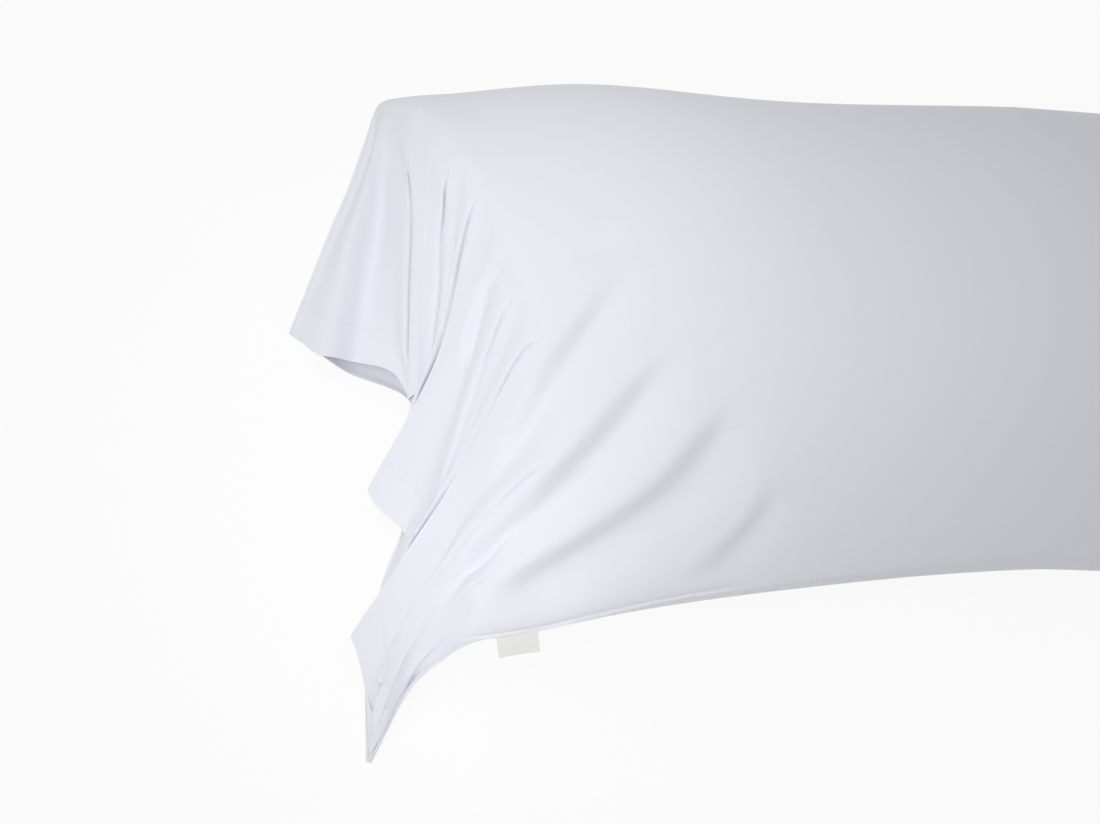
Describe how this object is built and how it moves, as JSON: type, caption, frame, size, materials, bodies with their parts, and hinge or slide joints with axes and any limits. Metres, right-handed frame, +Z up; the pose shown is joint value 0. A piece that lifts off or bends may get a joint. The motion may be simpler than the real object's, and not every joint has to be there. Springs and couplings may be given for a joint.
{
  "type": "bolster pillowcase",
  "caption": "Long white bolster pillowcase on its filled bolster, lying on its back, with a loose open end that falls in swept folds and a small folded label in the side seam.",
  "frame": {"origin": "on the surface the bolster lies on, under the middle of the filled body's length and width", "axes": "+X along the bolster from its open end to its sewn end, +Y towards the far long side, +Z up"},
  "size_m": [1.036, 0.4664, 0.2139],
  "materials": {
    "case_cloth": "smooth cotton sateen",
    "label_ribbon": "woven satin ribbon"
  },
  "bodies": {
    "root": {"case": "case_cloth", "label": "label_ribbon"}
  },
  "joints": []
}
